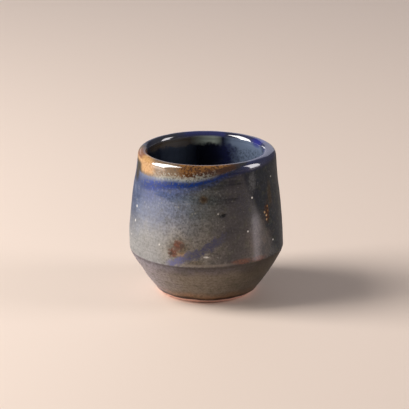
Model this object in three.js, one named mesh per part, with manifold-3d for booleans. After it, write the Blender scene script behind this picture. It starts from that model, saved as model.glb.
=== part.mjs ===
// A small wheel-thrown stoneware cup without a handle: a turned clay body under three fired glaze coats.
// Millimetres, +Z up. The cup stands on z = 0 with its axis on Z, and its front faces -Y.

import * as THREE from "three";
import { mergeVertices } from "three/addons/utils/BufferGeometryUtils.js";
import Module from "manifold-3d";

const wasm = await Module();
wasm.setup();

// Clay body: radii and heights of the bare clay
const CLAY_HEIGHT = 61.8;
const LIP_RADIUS = 28.1;
const LIP_WALL = 3.0;
const LIP_FLAT = 0.2;
const KEEL_RADIUS = 32.5;
const KEEL_HEIGHT = 19.6;
const KEEL_FILLET = 2.5;
const KEEL_WALL = 3.6;
const WALL_BOW = 0.6;
const CONE_BOW = 0.65;
const FOOT_RADIUS = 19.3;
const FOOT_FILLET = 1.5;
const FOOT_RING_WIDTH = 4.8;
const FOOT_HOLLOW = 1.6;
const FOOT_HOLLOW_SLOPE = 1.4;

// Inside of the clay body
const FLOOR_THICKNESS = 4.6;
const FLOOR_RADIUS = 17.0;
const FLOOR_FILLET = 7.0;
const INNER_KEEL_LIFT = 1.4;
const INNER_KEEL_FILLET = 9.0;
const FINGER_MARKS = 5;
const FINGER_MARK_DEPTH = 0.25;

// Glaze coats
const BASE_COAT = 0.35;
const RIM_COAT = 0.35;
const LINER_COAT = 0.4;
const FUSE_GAP = 0.05;
const EDGE_GAP = 0.3;
const FOOT_LINE = 3.0;
const KEEL_LINE_LIFT = 0.6;
const LIP_LAP = 3.2;

// Dips: each glaze bath is a plane that crosses the cup's axis at a depth below the lip and rises towards
// DIP_TURN, which is measured round the axis from the front towards +X
const DIP_TURN = THREE.MathUtils.degToRad(121);
const BASE_DIP_DEPTH = 0.6;
const BASE_DIP_TILT = THREE.MathUtils.degToRad(18);
const RIM_DIP_DEPTH = 22.1;
const RIM_DIP_TILT = THREE.MathUtils.degToRad(33);
const BATH_SCALE = 8;

// Facets
const TURN_STEPS = 48;
const CORNER_STEPS = 3;
const SIDE_STEPS = 4;
const WELD = 1e-3;

// One corner of a turned outline, at radius r and height z and rounded by a fillet.
// The side that leaves it bows outwards by bow, drawn in the given number of straight steps.
function corner(r, z, { fillet = 0, bow = 0, steps = 1 } = {}) {
  return { at: new THREE.Vector2(r, z), fillet, bow, steps };
}

function roundedCorner(before, here, after) {
  if (here.fillet === 0) return [here.at.clone()];
  const back = before.at.clone().sub(here.at).normalize();
  const onward = after.at.clone().sub(here.at).normalize();
  const halfAngle = Math.acos(back.dot(onward)) / 2;
  const reach = here.fillet / Math.tan(halfAngle);
  const depth = here.fillet / Math.sin(halfAngle);
  const centre = back.clone().add(onward).setLength(depth).add(here.at);
  const first = back.multiplyScalar(reach).add(here.at).sub(centre);
  const last = onward.multiplyScalar(reach).add(here.at).sub(centre);
  const sweep = Math.atan2(first.cross(last), first.dot(last));
  const origin = new THREE.Vector2();
  return Array.from({ length: CORNER_STEPS + 1 }, (_, i) =>
    first.clone().rotateAround(origin, (sweep * i) / CORNER_STEPS).add(centre),
  );
}

// Points between the ends of a side, lifted off the straight line in a shallow curve.
function bowedSide(from, to, bow, steps) {
  const along = to.clone().sub(from);
  const outward = new THREE.Vector2(along.y, -along.x).normalize();
  return Array.from({ length: steps - 1 }, (_, i) => {
    const share = (i + 1) / steps;
    const lift = 4 * bow * share * (1 - share);
    return from.clone().addScaledVector(along, share).addScaledVector(outward, lift);
  });
}

function outlineThrough(corners) {
  const rounded = corners.map((here, i) =>
    roundedCorner(corners[i - 1] ?? here, here, corners[i + 1] ?? here),
  );
  return rounded.flatMap((points, i) => {
    if (i === rounded.length - 1) return points;
    const side = bowedSide(points.at(-1), rounded[i + 1][0], corners[i].bow, corners[i].steps);
    return [...points, ...side];
  });
}

// Finger marks left by throwing: shallow rings pressed into the inside wall, with a ridge between them.
function fingerMarkedWall(from, to) {
  const along = to.clone().sub(from);
  const intoClay = new THREE.Vector2(-along.y, along.x).normalize();
  return Array.from({ length: 2 * FINGER_MARKS - 1 }, (_, i) => {
    const isMark = i % 2 === 0;
    const onWall = from.clone().addScaledVector(along, (i + 1) / (2 * FINGER_MARKS));
    return onWall.addScaledVector(intoClay, isMark ? FINGER_MARK_DEPTH : 0);
  });
}

// The stretch of an outline from where it climbs past one height to where it later falls past another.
function stretch(outline, climbsPast, fallsPast) {
  const crossing = (i, height) => {
    const [below, above] = [outline[i - 1], outline[i]];
    return below.clone().lerp(above, (height - below.y) / (above.y - below.y));
  };
  const start = outline.findIndex((p, i) => i > 0 && outline[i - 1].y < climbsPast && p.y >= climbsPast);
  const end = outline.findIndex((p, i) => i > start && outline[i - 1].y > fallsPast && p.y <= fallsPast);
  return [crossing(start, climbsPast), ...outline.slice(start, end), crossing(end, fallsPast)];
}

// The rest of an outline, from where it falls past a height on the inside to its end on the axis.
function insideBelow(outline, height) {
  const top = outline.reduce((best, p, i) => (p.y > outline[best].y ? i : best), 0);
  const inside = outline.slice(top);
  const end = inside.findIndex((p) => p.y <= height);
  const [above, below] = [inside[end - 1], inside[end]];
  const start = above.clone().lerp(below, (height - above.y) / (below.y - above.y));
  return [start, ...inside.slice(end)];
}

// An outline moved off the clay by a distance square to each of its sides.
function lifted(outline, distance) {
  const normals = outline.slice(1).map((p, i) => {
    const along = p.clone().sub(outline[i]);
    return new THREE.Vector2(along.y, -along.x).normalize();
  });
  return outline.map((p, i) => {
    const before = normals[i - 1] ?? normals[i];
    const after = normals[i] ?? before;
    const between = before.clone().add(after).normalize();
    return p.clone().addScaledVector(between, distance / between.dot(after));
  });
}

// A turned coat between two distances from the clay.
function coatSection(outline, inner, outer) {
  return [...lifted(outline, inner).reverse(), ...lifted(outline, outer)];
}

function turned(section) {
  const onAxis = Math.abs(section[0].x) < WELD && Math.abs(section.at(-1).x) < WELD;
  const profile = onAxis ? section : [...section, section[0]];
  return new THREE.LatheGeometry(profile, TURN_STEPS).rotateX(Math.PI / 2);
}

function solidOf(geometry) {
  const bare = geometry.clone().deleteAttribute("normal").deleteAttribute("uv");
  const welded = mergeVertices(bare, WELD);
  const vertProperties = new Float32Array(welded.attributes.position.array);
  const triVerts = new Uint32Array(welded.index.array);
  return new wasm.Manifold(new wasm.Mesh({ numProp: 3, vertProperties, triVerts }));
}

function geometryOf(solid) {
  const { vertProperties, triVerts } = solid.getMesh();
  const geometry = new THREE.BufferGeometry();
  geometry.setAttribute("position", new THREE.BufferAttribute(vertProperties, 3));
  geometry.setIndex(new THREE.BufferAttribute(triVerts, 1));
  geometry.computeVertexNormals();
  return geometry;
}

// Everything below a tilted glaze bath's surface, as a block much larger than the cup.
function bathBelow(depth, tilt) {
  const side = BATH_SCALE * (CLAY_HEIGHT + KEEL_RADIUS);
  const block = new THREE.BoxGeometry(side, side, side)
    .translate(0, 0, -side / 2)
    .rotateY(-tilt)
    .rotateZ(DIP_TURN - Math.PI / 2)
    .translate(0, 0, CLAY_HEIGHT - depth);
  return solidOf(block);
}

// Sizes that follow from the driving dimensions
const lipFillet = (LIP_WALL - LIP_FLAT) / 2;
const footRingInner = FOOT_RADIUS - FOOT_RING_WIDTH;
const floorHeight = FOOT_HOLLOW + FLOOR_THICKNESS;
const lipInner = LIP_RADIUS - LIP_WALL;
const innerKeelRadius = KEEL_RADIUS - KEEL_WALL;
const innerKeelHeight = KEEL_HEIGHT + INNER_KEEL_LIFT;

// Clay outline: from the axis under the foot, up the outside, over the lip and down the inside
const outsideOfClay = outlineThrough([
  corner(0, FOOT_HOLLOW),
  corner(footRingInner - FOOT_HOLLOW_SLOPE, FOOT_HOLLOW),
  corner(footRingInner, 0),
  corner(FOOT_RADIUS, 0, { fillet: FOOT_FILLET, bow: CONE_BOW, steps: SIDE_STEPS }),
  corner(KEEL_RADIUS, KEEL_HEIGHT, { fillet: KEEL_FILLET, bow: WALL_BOW, steps: SIDE_STEPS }),
  corner(LIP_RADIUS, CLAY_HEIGHT, { fillet: lipFillet }),
  corner(lipInner, CLAY_HEIGHT, { fillet: lipFillet }),
  corner(innerKeelRadius, innerKeelHeight),
]).slice(0, -1);

const floorOfClay = outlineThrough([
  corner(lipInner, CLAY_HEIGHT),
  corner(innerKeelRadius, innerKeelHeight, { fillet: INNER_KEEL_FILLET }),
  corner(FLOOR_RADIUS, floorHeight, { fillet: FLOOR_FILLET }),
  corner(0, floorHeight),
]).slice(1);

const clayOutline = [
  ...outsideOfClay,
  ...fingerMarkedWall(outsideOfClay.at(-1), floorOfClay[0]),
  ...floorOfClay,
];

// Distances of the coats' faces from the clay
const baseFoot = FUSE_GAP;
const baseFace = baseFoot + BASE_COAT;
const rimFoot = baseFace + FUSE_GAP;
const rimFace = rimFoot + RIM_COAT;

const lapHeight = CLAY_HEIGHT - LIP_LAP;
const glazedOutside = stretch(clayOutline, FOOT_LINE, lapHeight);
const aboveKeel = stretch(clayOutline, KEEL_HEIGHT + KEEL_LINE_LIFT, lapHeight);
const pastTheGlaze = stretch(clayOutline, FOOT_LINE - EDGE_GAP, lapHeight - EDGE_GAP);
const glazedInside = insideBelow(clayOutline, lapHeight - EDGE_GAP);

const baseBath = bathBelow(BASE_DIP_DEPTH, BASE_DIP_TILT);
const baseBathAndGap = bathBelow(BASE_DIP_DEPTH - EDGE_GAP, BASE_DIP_TILT);
const belowRimDip = bathBelow(RIM_DIP_DEPTH, RIM_DIP_TILT);

const baseCoat = solidOf(turned(coatSection(glazedOutside, baseFoot, baseFace))).intersect(baseBath);

// The rim coat lies on the clay above the base coat's edge and climbs over the base coat below it.
const roomForBaseCoat = solidOf(turned(coatSection(pastTheGlaze, 0, rimFoot))).intersect(baseBathAndGap);
const rimCoat = solidOf(turned(coatSection(aboveKeel, baseFoot, rimFace)))
  .subtract(roomForBaseCoat)
  .subtract(belowRimDip);

const stoneware = new THREE.MeshStandardMaterial({ color: "#9a7260", roughness: 0.85, metalness: 0 });
const brownGrey = new THREE.MeshStandardMaterial({ color: "#5f554b", roughness: 0.35, metalness: 0 });
const amberToBlue = new THREE.MeshStandardMaterial({ color: "#7c8088", roughness: 0.25, metalness: 0 });
const nightBlue = new THREE.MeshStandardMaterial({ color: "#23263a", roughness: 0.2, metalness: 0 });

function piece(name, geometry, material) {
  const mesh = new THREE.Mesh(geometry, material);
  mesh.name = name;
  return mesh;
}

const cup = new THREE.Group();
cup.name = "cup";
cup.add(
  piece("clay_body", turned(clayOutline), stoneware),
  piece("base_glaze", geometryOf(baseCoat), brownGrey),
  piece("rim_glaze", geometryOf(rimCoat), amberToBlue),
  piece("liner_glaze", turned(coatSection(glazedInside, FUSE_GAP, FUSE_GAP + LINER_COAT)), nightBlue),
);

export default cup;
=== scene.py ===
"""A small wheel-thrown stoneware cup: bare clay foot, dark base glaze, dipped rim glaze and a blue liner."""

import math
from bisect import bisect_right

import bpy
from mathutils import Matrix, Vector, noise


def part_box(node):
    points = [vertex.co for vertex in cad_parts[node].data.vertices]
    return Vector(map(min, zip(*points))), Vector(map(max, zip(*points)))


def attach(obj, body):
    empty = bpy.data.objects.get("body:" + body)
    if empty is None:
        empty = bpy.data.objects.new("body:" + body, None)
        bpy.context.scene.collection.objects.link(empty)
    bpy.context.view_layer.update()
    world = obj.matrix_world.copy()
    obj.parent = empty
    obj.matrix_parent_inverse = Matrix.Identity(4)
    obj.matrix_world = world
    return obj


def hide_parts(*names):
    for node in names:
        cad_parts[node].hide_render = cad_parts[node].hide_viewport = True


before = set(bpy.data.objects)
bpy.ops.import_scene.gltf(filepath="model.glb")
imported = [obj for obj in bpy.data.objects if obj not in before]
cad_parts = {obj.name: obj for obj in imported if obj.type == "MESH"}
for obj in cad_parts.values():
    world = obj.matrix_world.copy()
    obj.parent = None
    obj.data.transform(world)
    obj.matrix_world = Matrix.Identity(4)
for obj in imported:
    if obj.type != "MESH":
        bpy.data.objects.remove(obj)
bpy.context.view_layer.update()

MM = 0.001
FULL_TURN = 2 * math.pi

# Clay body, in metres: the turned solid's sizes, with a softer foot and a lip that falls a little inwards
CLAY_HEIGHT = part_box("clay_body")[1][2]
LIP_RADIUS = 28.1 * MM
LIP_WALL = 3.0 * MM
LIP_FILLET = 1.5 * MM
LIP_INNER_FILLET = 1.45 * MM
LIP_CREST = 0.23 * MM
LIP_FALL = 0.25 * MM
KEEL_RADIUS = 32.5 * MM
KEEL_HEIGHT = 19.6 * MM
KEEL_FILLET = 2.5 * MM
KEEL_WALL = 3.6 * MM
WALL_BOW = 0.7 * MM
CONE_BOW = 0.65 * MM
FOOT_RADIUS = 19.3 * MM
FOOT_FILLET = 2.1 * MM
FOOT_RING_WIDTH = 4.8 * MM
FOOT_RING_FILLET = 0.5 * MM
FOOT_HOLLOW = 1.6 * MM
FOOT_HOLLOW_SLOPE = 1.4 * MM
FOOT_HOLLOW_FILLET = 0.8 * MM
FLOOR_HEIGHT = 6.2 * MM
FLOOR_RADIUS = 17.0 * MM
FLOOR_FILLET = 7.0 * MM
INNER_KEEL_HEIGHT = 21.0 * MM
INNER_KEEL_FILLET = 9.0 * MM

# Glaze coats: distances of their faces from the clay, and where they end
FUSE_GAP = 0.05 * MM
BASE_FACE = 0.40 * MM
RIM_FACE = 0.80 * MM
LIP_INSIDE_FACE = 0.60 * MM
LINER_FACE = 0.45 * MM
LIP_SWELL_EVEN = 0.18 * MM
LIP_SWELL_RIGHT = 0.12 * MM
LIP_SWELL_LENGTH = 14.0 * MM
LIP_SHOULDER = 1.5 * LIP_FILLET
LIP_ROLL_OUTSIDE = 1.0 * MM
LIP_ROLL_INSIDE = 3.0 * MM
EDGE_SINK = 0.03 * MM
EDGE_ROLL = 0.6 * MM
EDGE_FIRST_ROW = 0.25 * EDGE_ROLL
FOOT_LINE = 1.9 * MM
FOOT_LINE_WAVE = 0.35 * MM
FOOT_LINE_WAVE_SIZE = 6.0 * MM
FOOT_BEAD = 0.12 * MM
FOOT_BEAD_PLACE = 0.9 * MM
FOOT_BEAD_WIDTH = 0.7 * MM
KEEL_LINE = KEEL_HEIGHT + 0.6 * MM
BASE_TAPER = 1.0 * MM
DIP_LINE_WAVE = 0.5 * MM
DIP_LINE_WAVE_SIZE = 5.0 * MM
DIP_FEATHER = 12.0 * MM
DIP_FEATHER_SHARE = 0.55
RIM_EDGE_SINK = 0.02 * MM
THINNEST_EDGE = 0.005 * MM
LIP_LAP = 3.2 * MM
LAP_FEATHER = 2.6 * MM
LINER_TUCK = 1.2 * MM

# Slanted dip lines as planes: level on the axis, and rise per metre towards +X and +Y
BASE_DIP = (61.2 * MM, 0.278, 0.167)
RIM_DIP = (39.7 * MM, 0.556, 0.334)

# Where the rim glaze runs far down the wall, where it is short, and how much thinner it is there
LONG_RIM_HEIGHT = 24.0 * MM
SHORT_RIM_HEIGHT = 56.0 * MM
SHORT_RIM_LOSS = 0.75

# Marks left by throwing and turning, under the glaze
THROWING_PITCH = 6.5 * MM
THROWING_DEPTH = 0.018 * MM
THROWING_FADE = 6.0 * MM
TOOL_PITCH = 1.5 * MM
TOOL_DEPTH = 0.003 * MM
GLAZE_WAVE = 0.05 * MM
GLAZE_WAVE_SIZE = 7.0 * MM
KEEL_GROOVE_HEIGHT = 19.5 * MM
KEEL_GROOVE_DEPTH = 0.14 * MM
KEEL_GROOVE_WIDTH = 0.4 * MM
KEEL_TILT = 0.012
KEEL_TILT_REACH = 14.0 * MM
LIP_WAVE = 0.10 * MM
LIP_WAVE_TURN = -0.9
OPENING_SHIFT = -0.60 * MM
OPENING_SHARES = (0.5, 0.95)

# How far from round the lip is: lobes round the cup, share of the radius, and turn
LOBES = [(2, 0.0022, 0.7), (3, 0.0012, -0.4)]

# Where a hand pressed the left side out or in: height, reach up and down, and how far out
LEFT_PRESSES = [
    (54.0 * MM, 5.5 * MM, -0.35 * MM),
    (26.5 * MM, 5.5 * MM, 0.45 * MM),
    (12.0 * MM, 2.5 * MM, -0.35 * MM),
]

# Pinholes and bubbles, in millimetres: place on the clay, size, and height above the glaze
POCK_TABLE = [
    ((6.5, -29.9, 42.8), 0.8, -0.35),
    ((-0.1, -32.3, 24.8), 0.6, 0.10),
    ((18.5, -23.6, 48.1), 0.6, 0.08),
    ((16.9, -26.5, 34.3), 0.6, 0.10),
    ((26.1, -13.0, 54.2), 0.6, 0.08),
    ((27.7, -16.4, 27.4), 0.6, 0.10),
    ((-19.2, -25.7, 28.3), 0.6, 0.08),
    ((-28.5, -12.2, 40.9), 0.6, 0.08),
    ((-29.2, -12.1, 34.6), 0.6, 0.08),
]
POCKS = [(Vector(place) * MM, size * MM, height * MM) for place, size, height in POCK_TABLE]

# How many times its size a pock reaches
POCK_REACH = 3

# Mesh density
SPIN_STEPS = 80
FACE_CUTS = 3
STRETCH = 1.5 * MM
HIDDEN_STRETCHES = 12
MERGE_GAP = 0.002 * MM
CORNER_STEPS = 14
SIDE_STEPS = 40
CLAY_SPIN_STEPS = 160
CLAY_STRIDE = 4

# Camera, from the photograph's frame
PHOTO_SIZE = 409
FOCAL_PIXELS = 2341
SENSOR_WIDTH = 36.0
CAMERA_ELEVATION = 17.6
CAMERA_DISTANCE = 1.0
AIM = Vector((0, 0, 0.030))
AIM_PIXEL = (206.6, 221.6)


# Turned outline of the clay

def fillet_points(before, here, after, radius):
    if radius == 0:
        return [here.copy()]
    back = (before - here).normalized()
    onward = (after - here).normalized()
    half_angle = math.acos(back.dot(onward)) / 2
    centre = here + (back + onward).normalized() * (radius / math.sin(half_angle))
    reach = radius / math.tan(half_angle)
    first = here + back * reach - centre
    last = here + onward * reach - centre
    sweep = math.atan2(first.x * last.y - first.y * last.x, first.dot(last))
    points = []
    for step in range(CORNER_STEPS + 1):
        turn = sweep * step / CORNER_STEPS
        across = Vector((-first.y, first.x))
        points.append(centre + first * math.cos(turn) + across * math.sin(turn))
    return points


def bowed_points(start, end, bow):
    along = end - start
    outward = Vector((along.y, -along.x)).normalized()
    points = []
    for step in range(1, SIDE_STEPS):
        share = step / SIDE_STEPS
        points.append(start + along * share + outward * (4 * bow * share * (1 - share)))
    return points


def clay_outline():
    """From the axis under the foot, up the outside, over the lip and down the inside to the axis."""
    ring_inner = FOOT_RADIUS - FOOT_RING_WIDTH
    corners = [
        (0, FOOT_HOLLOW, 0, 0),
        (ring_inner - FOOT_HOLLOW_SLOPE, FOOT_HOLLOW, FOOT_HOLLOW_FILLET, 0),
        (ring_inner, 0, FOOT_RING_FILLET, 0),
        (FOOT_RADIUS, 0, FOOT_FILLET, CONE_BOW),
        (KEEL_RADIUS, KEEL_HEIGHT, KEEL_FILLET, WALL_BOW),
        (LIP_RADIUS, CLAY_HEIGHT + LIP_CREST, LIP_FILLET, 0),
        (LIP_RADIUS - LIP_WALL, CLAY_HEIGHT + LIP_CREST - LIP_FALL, LIP_INNER_FILLET, 0),
        (KEEL_RADIUS - KEEL_WALL, INNER_KEEL_HEIGHT, INNER_KEEL_FILLET, 0),
        (FLOOR_RADIUS, FLOOR_HEIGHT, FLOOR_FILLET, 0),
        (0, FLOOR_HEIGHT, 0, 0),
    ]
    places = [Vector((r, z)) for r, z, _, _ in corners]
    rounded = []
    for i, (_, _, radius, _) in enumerate(corners):
        before = places[max(i - 1, 0)]
        after = places[min(i + 1, len(places) - 1)]
        rounded.append(fillet_points(before, places[i], after, radius))
    outline = []
    for i, points in enumerate(rounded):
        outline += points
        if i + 1 < len(rounded):
            outline += bowed_points(points[-1], rounded[i + 1][0], corners[i][3])
    return outline


class Wall:
    """The clay outline by its length, so that glaze can be laid along it at any height and thickness."""

    def __init__(self, outline):
        self.points = outline
        self.lengths = [0.0]
        for here, there in zip(outline, outline[1:]):
            self.lengths.append(self.lengths[-1] + (there - here).length)
        self.top = max(range(len(outline)), key=lambda i: outline[i].y)
        self.foot = min(range(len(outline)), key=lambda i: (outline[i].y, -outline[i].x))

    def at(self, length):
        i = min(max(bisect_right(self.lengths, length), 1), len(self.points) - 1)
        start, end = self.points[i - 1], self.points[i]
        share = (length - self.lengths[i - 1]) / (self.lengths[i] - self.lengths[i - 1])
        normal = self.normal(i - 1).lerp(self.normal(i), share).normalized()
        return start.lerp(end, share), normal

    def normal(self, i):
        before = self.points[max(i - 1, 0)]
        after = self.points[min(i + 1, len(self.points) - 1)]
        along = after - before
        return Vector((along.y, -along.x)).normalized()

    def outside_at(self, height):
        return self.crossing(height, range(self.foot + 1, self.top + 1))

    def inside_at(self, height):
        return self.crossing(height, range(self.top + 1, len(self.points)))

    def crossing(self, height, steps):
        for i in steps:
            low, high = sorted((self.points[i - 1].y, self.points[i].y))
            if low <= height <= high and low < high:
                share = (height - self.points[i - 1].y) / (self.points[i].y - self.points[i - 1].y)
                return self.lengths[i - 1] + share * (self.lengths[i] - self.lengths[i - 1])
        return self.lengths[self.top]

    def end(self):
        return self.lengths[-1]


wall = Wall(clay_outline())


# Relief shared by everything on the wall

def smooth_step(value, low, high):
    share = min(max((value - low) / (high - low), 0.0), 1.0)
    return share * share * (3 - 2 * share)


def bell(distance, width):
    """1 in the middle, falling away smoothly on both sides."""
    return math.exp(-((distance / width) ** 2))


def on_circle(angle, radius, height):
    """A point at an angle from the front, which faces -Y, towards +X."""
    return Vector((radius * math.sin(angle), -radius * math.cos(angle), height))


def pock_relief(place):
    """Pinholes in the glaze, and bubbles that never burst."""
    depth = 0.0
    for centre, size, height in POCKS:
        gap = (place - centre).length
        if gap < POCK_REACH * size:
            depth += height * bell(gap, size)
    return depth


def hand_relief(angle, radius, height):
    """Throwing rings that climb once a turn, finer tool lines and slow waves in the glaze."""
    climb = angle / FULL_TURN
    place = on_circle(angle, radius, height)
    above_keel = smooth_step(height, KEEL_HEIGHT, KEEL_HEIGHT + THROWING_FADE)
    rings = THROWING_DEPTH * above_keel * math.sin(FULL_TURN * (height / THROWING_PITCH + climb))
    tool = TOOL_DEPTH * math.sin(FULL_TURN * (height / TOOL_PITCH + climb))
    wave = GLAZE_WAVE * noise.noise(place / GLAZE_WAVE_SIZE)
    groove = KEEL_GROOVE_DEPTH * bell(height - KEEL_GROOVE_HEIGHT, KEEL_GROOVE_WIDTH)
    return rings + tool + wave - groove + pock_relief(place)


def hand_warp(place):
    """A thrown cup is never quite round or level: it is a little oval, and its keel and lip rise and fall."""
    angle = math.atan2(place.x, -place.y)
    radius = math.hypot(place.x, place.y)
    share = place.z / CLAY_HEIGHT
    swell = 1 + share * sum(size * math.cos(lobes * angle + turn) for lobes, size, turn in LOBES)
    rise = LIP_WAVE * share ** 3 * math.cos(2 * angle + LIP_WAVE_TURN)
    near_keel = bell(place.z - KEEL_HEIGHT, KEEL_TILT_REACH)
    rise += KEEL_TILT * place.x * near_keel * smooth_step(place.z, 0, KEEL_TILT_REACH)
    inside = 1 - smooth_step(radius, LIP_RADIUS - LIP_WALL, LIP_RADIUS)
    shift = OPENING_SHIFT * inside * smooth_step(share, *OPENING_SHARES)
    left = max(0.0, -math.sin(angle))
    for height, reach, outward in LEFT_PRESSES:
        shift -= outward * left * bell(place.z - height, reach)
    return Vector((place.x * swell + shift, place.y * swell, place.z + rise))


# Turning and laying the pieces

def draw_section(name, section):
    """Draws one vertex out along a section in the XZ plane."""
    places = [Vector((p.x, 0, p.y)) for p in section]
    bpy.ops.object.select_all(action="DESELECT")
    bpy.ops.mesh.primitive_plane_add(size=MM, location=places[0])
    piece = bpy.context.object
    piece.name = name
    piece.data.name = name
    bpy.ops.object.transform_apply(location=True, rotation=True, scale=True)
    bpy.ops.object.mode_set(mode="EDIT")
    bpy.ops.mesh.merge(type="CENTER")
    # Leaving edit mode once keeps the later vertices numbered in the order they are drawn
    bpy.ops.object.mode_set(mode="OBJECT")
    bpy.ops.object.mode_set(mode="EDIT")
    for here, there in zip(places, places[1:]):
        bpy.ops.mesh.extrude_region_move(TRANSFORM_OT_translate={"value": there - here})
    bpy.ops.object.mode_set(mode="OBJECT")
    return piece


def spin_section(piece, steps, face_cuts):
    """Spins the section round the axis into a closed body and splits its faces into finer ones."""
    bpy.ops.object.mode_set(mode="EDIT")
    bpy.ops.mesh.select_all(action="SELECT")
    bpy.ops.mesh.spin(steps=steps, angle=FULL_TURN, center=(0, 0, 0), axis=(0, 0, 1))
    bpy.ops.mesh.select_all(action="SELECT")
    bpy.ops.mesh.remove_doubles(threshold=MERGE_GAP)
    bpy.ops.mesh.normals_make_consistent(inside=False)
    if face_cuts:
        bpy.ops.mesh.subdivide(number_cuts=face_cuts)
    bpy.ops.object.mode_set(mode="OBJECT")
    bpy.ops.object.shade_smooth()


def evenly(start, end, count):
    return [start + (end - start) * i / count for i in range(count + 1)]


def coat_blank(name, start, end, on_axis):
    """A coat of even thickness between two lengths along the wall, with each row's share of that stretch."""
    inner = evenly(end, start, HIDDEN_STRETCHES)
    rolled_over = start + EDGE_ROLL
    outer = [start, start + EDGE_FIRST_ROW]
    outer += evenly(rolled_over, end, round((end - rolled_over) / STRETCH))
    rows = [(length, 0.0) for length in inner] + [(length, 1.0) for length in outer]
    if not on_axis:
        rows.append(rows[0])
    section = []
    for length, side in rows:
        point, normal = wall.at(length)
        section.append(point + normal * (FUSE_GAP + side * BASE_FACE))
    blank = draw_section(name, section)
    share = blank.data.attributes.new("share", "FLOAT", "POINT")
    side = blank.data.attributes.new("side", "FLOAT", "POINT")
    for i, (length, outward) in enumerate(rows):
        share.data[i].value = (length - start) / (end - start)
        side.data[i].value = outward
    spin_section(blank, SPIN_STEPS, FACE_CUTS)
    return blank


def lay_on_wall(coat, start_of, end_of, face_of, back_of):
    """Moves each row to its place between the coat's edges, at the coat's own thickness there."""
    shares = coat.data.attributes["share"].data
    sides = coat.data.attributes["side"].data
    edges = {}
    for vertex in coat.data.vertices:
        angle = round(math.atan2(vertex.co.x, -vertex.co.y), 4)
        if angle not in edges:
            edges[angle] = (start_of(angle), end_of(angle))
        start, end = edges[angle]
        length = start + (end - start) * shares[vertex.index].value
        point, normal = wall.at(length)
        face = face_of(angle, length, start, end)
        face += hand_relief(angle, point.x, point.y) + lip_swell(angle, length)
        back = min(face - THINNEST_EDGE, back_of(angle, point))
        place = point + normal * (back + (face - back) * sides[vertex.index].value)
        vertex.co = hand_warp(on_circle(angle, max(place.x, 0.0), place.y))
    coat.data.attributes.remove(coat.data.attributes["share"])
    coat.data.attributes.remove(coat.data.attributes["side"])


def dip_height(dip, angle, radius):
    level, rise_x, rise_y = dip
    place = on_circle(angle, radius, 0)
    return level + rise_x * place.x + rise_y * place.y


def rim_shortness(angle):
    """0 where the rim glaze runs far down the wall, 1 where its edge is close under the lip."""
    return smooth_step(dip_height(RIM_DIP, angle, KEEL_RADIUS), LONG_RIM_HEIGHT, SHORT_RIM_HEIGHT)


def lip_swell(angle, length):
    """The lip is fuller than the turned clay, most of all where the rim glaze is too short to round it."""
    top = wall.lengths[wall.top]
    shoulder = top - LIP_SHOULDER
    crown = LIP_SWELL_EVEN + LIP_SWELL_RIGHT * math.sin(angle)
    crown *= 1 - smooth_step(length, shoulder, top)
    under_rim = SHORT_RIM_LOSS * (RIM_FACE - BASE_FACE) * rim_shortness(angle)
    climb = smooth_step(length, top - LIP_SWELL_LENGTH, shoulder)
    return (crown + under_rim) * climb * (1 - smooth_step(length, top, top + LIP_WALL))


def rolled(distance):
    """A glaze edge rounds over like a drop: nothing at its edge, full thickness one roll further in."""
    if distance >= EDGE_ROLL:
        return 1.0
    return math.sqrt(max(0.0, 1 - (1 - distance / EDGE_ROLL) ** 2))


def ragged(angle, size, depth):
    """A slow wander of an edge round the cup."""
    return depth * noise.noise(on_circle(angle, KEEL_RADIUS, size) / size)


def make_clay():
    section = wall.points[:-1:CLAY_STRIDE] + wall.points[-1:]
    clay = draw_section("thrown_clay", section)
    spin_section(clay, CLAY_SPIN_STEPS, 0)
    for vertex in clay.data.vertices:
        vertex.co = hand_warp(vertex.co)
    return clay


def on_clay(angle, point):
    """The back of a coat that lies straight on the clay."""
    return FUSE_GAP


def make_base_coat():
    def start_of(angle):
        return wall.outside_at(FOOT_LINE + ragged(angle, FOOT_LINE_WAVE_SIZE, FOOT_LINE_WAVE))

    def end_of(angle):
        return wall.outside_at(min(dip_height(BASE_DIP, angle, LIP_RADIUS), CLAY_HEIGHT))

    def face_of(angle, length, start, end):
        bead = FOOT_BEAD * bell(length - start - FOOT_BEAD_PLACE, FOOT_BEAD_WIDTH)
        return rolled(length - start) * (BASE_FACE + bead) - EDGE_SINK

    lowest = wall.outside_at(FOOT_LINE)
    coat = coat_blank("base_glaze_coat", lowest, wall.lengths[wall.top], on_axis=False)
    lay_on_wall(coat, start_of, end_of, face_of, on_clay)
    return coat


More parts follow.
